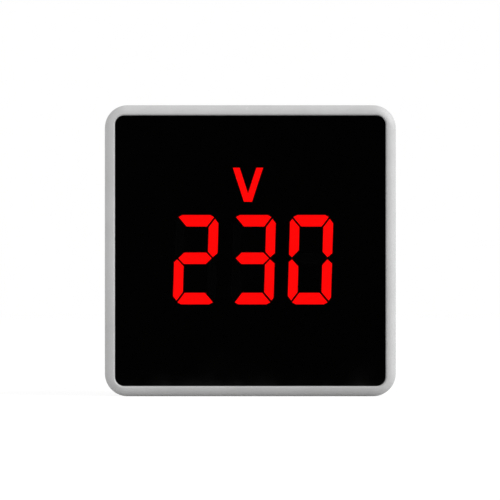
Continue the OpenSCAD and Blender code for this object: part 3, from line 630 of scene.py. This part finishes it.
def makeBanded(name, node, look):  # an axial body with painted bands: start, width and colour of each
    surface = bandedSurface
    color = look["color"]
    material, tree, shader, place = startMaterial(name, **{"Roughness": look["roughness"], "IOR": 1.5})
    low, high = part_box(node)
    spot = addNode(tree, "ShaderNodeSeparateXYZ", {"Vector": place})
    along = addNode(tree, "ShaderNodeMapRange", {
        "Value": spot.outputs["X"], "From Min": low.x, "From Max": high.x, "To Min": 0.0, "To Max": 1.0})
    ramp = addNode(tree, "ShaderNodeValToRGB", {"Fac": along.outputs["Result"]})
    ramp.color_ramp.interpolation = "CONSTANT"
    ramp.color_ramp.elements[0].color = hexColor(color)
    ramp.color_ramp.elements[1].position = 1.0
    ramp.color_ramp.elements[1].color = hexColor(color)
    for start, width, bandColor in look["bands"]:
        ramp.color_ramp.elements.new(start).color = hexColor(bandColor)
        ramp.color_ramp.elements.new(start + width).color = hexColor(color)
    spots = addNode(tree, "ShaderNodeTexNoise", {
        "Vector": place, "Scale": perMm(surface["spotMm"]), "Detail": 2.0})
    relief = addNode(tree, "ShaderNodeBump", {
        "Strength": 0.5, "Distance": surface["heightMm"] * mm, "Height": spots.outputs["Fac"]})
    tree.links.new(ramp.outputs["Color"], shader.inputs["Base Color"])
    tree.links.new(relief.outputs["Normal"], shader.inputs["Normal"])
    return material


paint(makeCoat("mouldedEpoxy"), "driver_chip", "chip_resistors", "header_strip", "bridge_rectifier")
paint(makeCoat("satinPolycarbonate"), "reflector", "pin_retainer")
paint(makeCoat("filmBox"), "film_capacitor")
paint(makeCoat("dippedEnamel"), "varistor")
paint(makeCoat("phosphor"), "lamp_chips")
paint(makeCoat("foamTape"), "face_tape")
paint(makeCapacitorCan(), "smoothing_capacitor")
paint(makeBanded("flameproof enamel", "fuse_resistor", resistorFinish), "fuse_resistor")
paint(makeBanded("diode glass", "zener_diode", diodeFinish), "zener_diode")
print("parts on the boards: coats and resins")


# Screws: rolled thread, pan head with a tapered cross, each turned to its own stop

floatMost, floatValue = 3, 1  # a Random Value node's largest float, and its float output


def setOnPlacesTree():  # puts one piece on every place, each turned about Y by its own chance
    tree, given = startTree("pieces on places", [
        ("Piece", "NodeSocketObject", None),
        ("Most Turn", "NodeSocketFloat", 0.0),
        ("Seed", "NodeSocketInt", 1),
        ("Finish", "NodeSocketMaterial", None)])
    places = addNode(tree, "GeometryNodeMeshToPoints", {"Mesh": given["Geometry"]})
    model = addNode(tree, "GeometryNodeObjectInfo", {"Object": given["Piece"], "As Instance": True})
    turn = addNode(tree, "FunctionNodeRandomValue", {
        "Seed": given["Seed"], floatMost: given["Most Turn"]}, data_type="FLOAT")
    about = addNode(tree, "ShaderNodeCombineXYZ", {"Y": turn.outputs[floatValue]})
    rotation = addNode(tree, "FunctionNodeEulerToRotation", {"Euler": about.outputs["Vector"]})
    placed = addNode(tree, "GeometryNodeInstanceOnPoints", {
        "Points": places.outputs["Points"], "Instance": model.outputs["Geometry"],
        "Rotation": rotation.outputs["Rotation"]})
    finishTree(tree, placed.outputs["Instances"], given["Finish"])
    return tree


onPlaces = setOnPlacesTree()

caseScrew = {"headD": 4.6, "headH": 1.7, "shankD": 2.2, "pitch": 0.9, "threadDepth": 0.28, "facing": 1}
boardScrew = {"headD": 3.4, "headH": 1.2, "shankD": 1.9, "pitch": 0.8, "threadDepth": 0.24, "facing": -1}
screwShape = {
    "sides": 32,
    "ringsPerPitch": 6,
    "edgeShare": 0.6,  # radius of the head's edge, in head heights
    "edgeSteps": 6,
    "valleySlope": 2.6,  # at 2 the thread's valley would take up the whole pitch
    "crossWidth": 0.2,  # in head diameters
    "crossLength": 0.62,
    "crossDepth": 0.6,  # in head heights
    "crossTaper": 0.35,
    "crossAbove": 0.3,  # millimetres above the head, where the cutter starts
    "crossFlare": 1.12,
    "crossWidthTaper": 0.4,  # the width follows the taper by this share only
    "seed": 7,
}


def threadRing(y, length, size):  # one ring of the shank, deeper where the thread's valley passes
    shape = screwShape
    crest = size["shankD"] / 2
    tip = crest / 2 + (y + length)
    ring = []
    for i in range(shape["sides"]):
        turn = i / shape["sides"]
        phase = (y / size["pitch"] + turn) % 1
        valley = size["threadDepth"] * max(0.0, 1 - shape["valleySlope"] * abs(phase - 0.5))
        radius = min(crest - valley, tip)
        angle = 2 * math.pi * turn
        ring.append(Vector((radius * math.cos(angle), y, radius * math.sin(angle))))
    return ring


def crossCutter(size):  # a tapered cross, from above the head down into it
    shape = screwShape
    top = size["headH"] + shape["crossAbove"]
    bottom = size["headH"] * (1 - shape["crossDepth"])
    taper = shape["crossWidthTaper"]
    rings = []
    for y, share in ((top, shape["crossFlare"]), (bottom, shape["crossTaper"])):
        length = shape["crossLength"] * size["headD"] / 2 * share
        width = shape["crossWidth"] * size["headD"] / 2 * (1 - taper + taper * share)
        corner = [(length, -width), (length, width), (width, width)]
        outline = []
        for quarter in range(4):
            turn = Matrix.Rotation(math.radians(90 * quarter), 2)
            outline += [turn @ Vector(point) for point in corner]
        rings.append([Vector((point.x, y, point.y)) for point in outline])
    return ringShell("cross", rings)


def screwSeed(name, size, length):  # millimetres first: under the head at zero, shank towards -Y
    shape = screwShape
    step = size["pitch"] / shape["ringsPerPitch"]
    rows = int(length / step - 0.5)  # the last ring stays clear of the plain one under the head
    rings = [threadRing(-length + i * step, length, size) for i in range(rows + 1)]
    rings.append(circlePoints(size["shankD"] / 2, 0, shape["sides"]))
    radius = shape["edgeShare"] * size["headH"]
    rings.append(circlePoints(size["headD"] / 2, 0, shape["sides"]))
    for i in range(shape["edgeSteps"] + 1):
        bend = math.pi / 2 * i / shape["edgeSteps"]
        out = size["headD"] / 2 - radius * (1 - math.cos(bend))
        rings.append(circlePoints(out, size["headH"] - radius * (1 - math.sin(bend)), shape["sides"]))
    screw = ringShell(name, rings)
    cutter = crossCutter(size)
    cut = screw.modifiers.new("cross", "BOOLEAN")
    cut.operation = "DIFFERENCE"
    cut.solver = "EXACT"
    cut.object = cutter
    depsgraph = bpy.context.evaluated_depsgraph_get()
    depsgraph.update()
    screw.data = bpy.data.meshes.new_from_object(screw.evaluated_get(depsgraph))
    screw.modifiers.clear()
    bpy.data.objects.remove(cutter)
    turned = Matrix.Rotation(math.pi if size["facing"] < 0 else 0, 4, "X")
    screw.data.transform(turned @ Matrix.Scale(mm, 4))
    screw.data.set_sharp_from_angle(angle=sharpAngle)
    return screw


def addScrews(node, size, across, up):  # at each place across and up, with heads where the node's are
    low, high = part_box(node)
    length = (high.y - low.y) / mm - size["headH"]
    seat = high.y - size["headH"] * mm if size["facing"] > 0 else low.y + size["headH"] * mm
    seed = screwSeed(node + "_seed", size, length)
    places = [Vector((x, seat, z)) for x in across for z in up]
    screws = growPiece(node + "_threaded", onPlaces, {
        "Piece": seed, "Most Turn": math.pi / 2, "Seed": screwShape["seed"], "Finish": zincPlate}, places)
    bpy.data.objects.remove(seed)
    addPiece(screws, "screw_steel", node)


def cornersOf(node, size):  # the axes of screws that stand in the corners of their node's box
    low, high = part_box(node)
    inset = size["headD"] / 2 * mm
    return [low.x + inset, high.x - inset], [low.z + inset, high.z - inset]


addScrews("case_screws", caseScrew, *cornersOf("case_screws", caseScrew))
addScrews("board_screws", boardScrew, *cornersOf("board_screws", boardScrew))
addScrews("retainer_screw", boardScrew, [0.0], [0.0])
print("screws: threaded, with crossed pan heads")


# Solder: a concave fillet at every pin and lead

solderShape = {
    "footD": 1.7,
    "topD": 0.85,
    "height": 0.8,
    "steps": 5,
    "sides": 16,
    "headerPins": 6,
    "headerPitch": 2.54,
}
leadPitch = {"film_capacitor": 10.0, "varistor": 5.0, "smoothing_capacitor": 3.5, "fuse_resistor": 10.0}


def filletSeed(facing):
    shape = solderShape
    rings = []
    for i in range(shape["steps"] + 1):
        rise = i / shape["steps"]
        radius = shape["topD"] / 2 + (shape["footD"] - shape["topD"]) / 2 * (1 - rise) ** 2
        rings.append(circlePoints(radius * mm, facing * rise * shape["height"] * mm, shape["sides"]))
    return ringShell("fillet", rings)


def addSolder(name, y, facing, spots):
    seed = filletSeed(facing)
    places = [Vector((x, y, z)) for x, z in spots]
    joints = growPiece(name, onPlaces, {
        "Piece": seed, "Most Turn": 0.0, "Seed": 1, "Finish": tinSolder}, places)
    bpy.data.objects.remove(seed)
    addPiece(joints, "nickel_brass")


def headerSpots():
    shape = solderShape
    low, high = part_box("header_pins")
    z = (low.z + high.z) / 2
    middle = (shape["headerPins"] - 1) / 2
    return [((i - middle) * shape["headerPitch"] * mm, z) for i in range(shape["headerPins"])]


def leadSpots():  # none where the rectifier covers the board
    spots = []
    for node, pitch in leadPitch.items():
        low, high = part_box(node)
        x, z = (low.x + high.x) / 2, (low.z + high.z) / 2
        spots += [(x - pitch / 2 * mm, z), (x + pitch / 2 * mm, z)]
    coverLow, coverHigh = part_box("bridge_rectifier")
    return [(x, z) for x, z in spots
            if not (coverLow.x < x < coverHigh.x and coverLow.z < z < coverHigh.z)]


tinSolder = makeSolder()
addSolder("display_board_solder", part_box("display_board")[0].y, -1, headerSpots())
addSolder("power_board_back_solder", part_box("power_board")[1].y, 1, headerSpots())
addSolder("power_board_front_solder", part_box("power_board")[0].y, -1, leadSpots())
print("solder: joints on both boards")


# Wires from the power board to the pins: PVC insulation over a copper strand, each one easy S

wireShape = {"outerD": 1.8, "strandD": 0.9, "bareMm": 1.2, "sides": 24, "steps": 32}


def wireTree():  # a round tube along one curve
    tree, given = startTree("tube along a curve", [
        ("Start", "NodeSocketVector", (0, 0, 0)),
        ("Start Handle", "NodeSocketVector", (0, 0, 0)),
        ("End Handle", "NodeSocketVector", (0, 0, 0)),
        ("End", "NodeSocketVector", (0, 0, 0)),
        ("Radius", "NodeSocketFloat", 0.001),
        ("Finish", "NodeSocketMaterial", None)])
    line = addNode(tree, "GeometryNodeCurvePrimitiveBezierSegment", {
        "Resolution": wireShape["steps"], "Start": given["Start"], "Start Handle": given["Start Handle"],
        "End Handle": given["End Handle"], "End": given["End"]})
    outline = addNode(tree, "GeometryNodeCurvePrimitiveCircle", {
        "Resolution": wireShape["sides"], "Radius": given["Radius"]})
    tube = addNode(tree, "GeometryNodeCurveToMesh", {
        "Curve": line.outputs["Curve"], "Profile Curve": outline.outputs["Curve"], "Fill Caps": True})
    finishTree(tree, tube.outputs["Mesh"], given["Finish"])
    return tree


tubeTree = wireTree()


def addTube(name, slot, finish, radius, start, end, *replaced):
    third = Vector((0, (end.y - start.y) / 3, 0))
    tube = growPiece(name, tubeTree, {
        "Start": start, "Start Handle": start + third, "End Handle": end - third, "End": end,
        "Radius": radius, "Finish": finish})
    tube.data.shade_smooth()
    tube.data.set_sharp_from_angle(angle=sharpAngle)
    addPiece(tube, slot, *replaced)


def addWire(side, node, pin, finish, slot):
    shape = wireShape
    radius = shape["outerD"] / 2 * mm
    low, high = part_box(node)
    pinLow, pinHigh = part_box(pin)
    tail = Vector(((pinLow.x + pinHigh.x) / 2, high.y, 0))
    outerX = high.x - radius if side > 0 else low.x + radius
    foot = Vector((outerX, low.y, high.z - radius))
    addTube(node + "_insulation", slot, finish, radius, foot, tail, node)
    bare = Vector((0, shape["bareMm"] * mm, 0))
    addTube(node + "_strand", "gold_brass", copperStrand, shape["strandD"] / 2 * mm, tail, tail + bare)


copperStrand = makeCopperStrand()
addWire(-1, "left_wire", "left_pin", makeCoat("brownPvc"), "brown_insulation")
addWire(1, "right_wire", "right_pin", makeCoat("bluePvc"), "blue_insulation")
print("wires: insulation and strand")


# Studio: a pale floor, white surroundings, a soft lamp from the upper right, a small one so near the left
# of the front that it fades across it, and a dark side behind the camera

floorLook = {
    "size": 3.0,
    "color": "#C4C4C4",
    "whiteShare": 0.7,
    "whiteStrength": 1.27,
    "gapMm": 0.02,
    "cardStartMm": 20,  # a black card lies on the floor this far before the face, and fades in over its edge
    "cardEdgeMm": 40,
}
skyLook = {"ambient": 0.58, "darkBelow": -0.72, "brightAbove": -0.35}
lampLook = {
    "softbox": {"toward": (0.79, -0.33, 0.52), "distance": 1.2, "size": 1.0, "power": 14.2},
    "fill": {"toward": (-0.62, -0.72, 0.13), "distance": 0.11, "size": 0.05, "power": 0.0138},
}


def buildFloor():
    look = floorLook
    half = look["size"] / 2
    mesh = bpy.data.meshes.new("floor")
    z = cadLow.z - look["gapMm"] * mm
    corners = [(-half, -half, z), (half, -half, z), (half, half, z), (-half, half, z)]
    mesh.from_pydata(corners, [], [(0, 1, 2, 3)])
    floor = bpy.data.objects.new("floor", mesh)
    bpy.context.scene.collection.objects.link(floor)
    material = bpy.data.materials.new("pale floor")
    material.use_nodes = True
    tree = material.node_tree
    tree.nodes.clear()
    matt = addNode(tree, "ShaderNodeBsdfDiffuse", {"Color": hexColor(look["color"])})
    white = addNode(tree, "ShaderNodeEmission", {"Strength": look["whiteStrength"]})
    path = addNode(tree, "ShaderNodeLightPath")
    seen = addNode(tree, "ShaderNodeMath", {
        0: path.outputs["Is Camera Ray"], 1: path.outputs["Is Glossy Ray"]}, operation="MAXIMUM")
    through = addNode(tree, "ShaderNodeMath", {
        0: seen.outputs["Value"], 1: path.outputs["Is Transmission Ray"]}, operation="MAXIMUM")
    share = addNode(tree, "ShaderNodeMath", {
        0: through.outputs["Value"], 1: look["whiteShare"]}, operation="MULTIPLY")
    mixed = addNode(tree, "ShaderNodeMixShader", {
        0: share.outputs["Value"], 1: matt.outputs["BSDF"], 2: white.outputs["Emission"]})
    place = addNode(tree, "ShaderNodeTexCoord").outputs["Object"]
    spot = addNode(tree, "ShaderNodeSeparateXYZ", {"Vector": place})
    cardStart = cadLow.y - look["cardStartMm"] * mm
    card = addNode(tree, "ShaderNodeMapRange", {
        "Value": spot.outputs["Y"], "From Min": cardStart, "From Max": cardStart - look["cardEdgeMm"] * mm,
        "To Min": 0.0, "To Max": 1.0})
    carded = addNode(tree, "ShaderNodeMath", {
        0: card.outputs["Result"], 1: path.outputs["Is Glossy Ray"]}, operation="MULTIPLY")
    black = addNode(tree, "ShaderNodeBsdfDiffuse", {"Color": (0, 0, 0, 1)})
    surface = addNode(tree, "ShaderNodeMixShader", {
        0: carded.outputs["Value"], 1: mixed.outputs["Shader"], 2: black.outputs["BSDF"]})
    addNode(tree, "ShaderNodeOutputMaterial", {"Surface": surface.outputs["Shader"]})
    mesh.materials.append(material)


def buildSky():  # white to the eye and in reflections, but dark on the camera's side, like a black card
    look = skyLook
    world = bpy.data.worlds.new("studio")
    world.use_nodes = True
    tree = world.node_tree
    tree.nodes.clear()
    direction = addNode(tree, "ShaderNodeTexCoord").outputs["Generated"]
    spot = addNode(tree, "ShaderNodeSeparateXYZ", {"Vector": direction})
    card = addNode(tree, "ShaderNodeMapRange", {
        "Value": spot.outputs["Y"], "From Min": look["darkBelow"], "From Max": look["brightAbove"],
        "To Min": 0.0, "To Max": 1.0})
    path = addNode(tree, "ShaderNodeLightPath")
    mirrored = addNode(tree, "ShaderNodeMath", {
        0: path.outputs["Is Glossy Ray"], 1: path.outputs["Is Transmission Ray"]}, operation="MAXIMUM")
    reflected = addNode(tree, "ShaderNodeMath", {
        0: mirrored.outputs["Value"], 1: card.outputs["Result"]}, operation="MULTIPLY")
    white = addNode(tree, "ShaderNodeMath", {
        0: path.outputs["Is Camera Ray"], 1: reflected.outputs["Value"]}, operation="MAXIMUM")
    soft = addNode(tree, "ShaderNodeMath", {
        0: path.outputs["Is Diffuse Ray"], 1: look["ambient"]}, operation="MULTIPLY")
    level = addNode(tree, "ShaderNodeMath", {
        0: white.outputs["Value"], 1: soft.outputs["Value"]}, operation="MAXIMUM")
    sky = addNode(tree, "ShaderNodeBackground", {
        "Color": (1, 1, 1, 1), "Strength": level.outputs["Value"]})
    addNode(tree, "ShaderNodeOutputWorld", {"Surface": sky.outputs["Background"]})
    bpy.context.scene.world = world


def buildLamps():
    centre = (cadLow + cadHigh) / 2
    for name, look in lampLook.items():
        data = bpy.data.lights.new(name, "AREA")
        data.shape = "SQUARE"
        data.size = look["size"]
        data.energy = look["power"]
        lamp = bpy.data.objects.new(name, data)
        toward = Vector(look["toward"]).normalized()
        lamp.location = centre + toward * look["distance"]
        lamp.rotation_mode = "QUATERNION"
        lamp.rotation_quaternion = toward.to_track_quat("Z", "Y")
        lamp.visible_camera = False
        bpy.context.scene.collection.objects.link(lamp)


cameraLook = {
    "distance": 1.2,  # long, so that only the front shows
    "frameMm": 85.8,  # width of the picture at the front rim
    "leftMm": 0.055,  # the meter stands a little right of the picture's centre, and a little below it
    "upMm": 0.12,
    "sensorMm": 36,
    "clipStart": 0.05,
    "clipEnd": 20,
}


def buildCamera():
    look = cameraLook
    data = bpy.data.cameras.new("front")
    data.sensor_width = look["sensorMm"]
    data.lens = look["sensorMm"] * look["distance"] / (look["frameMm"] * mm)
    data.clip_start = look["clipStart"]
    data.clip_end = look["clipEnd"]
    camera = bpy.data.objects.new("front", data)
    camera.location = (-look["leftMm"] * mm, cadLow.y - look["distance"], look["upMm"] * mm)
    camera.rotation_euler = (math.pi / 2, 0, 0)
    bpy.context.scene.collection.objects.link(camera)
    bpy.context.scene.camera = camera


buildFloor()
buildSky()
buildLamps()
buildCamera()
print("studio: floor, sky, lamps and camera")
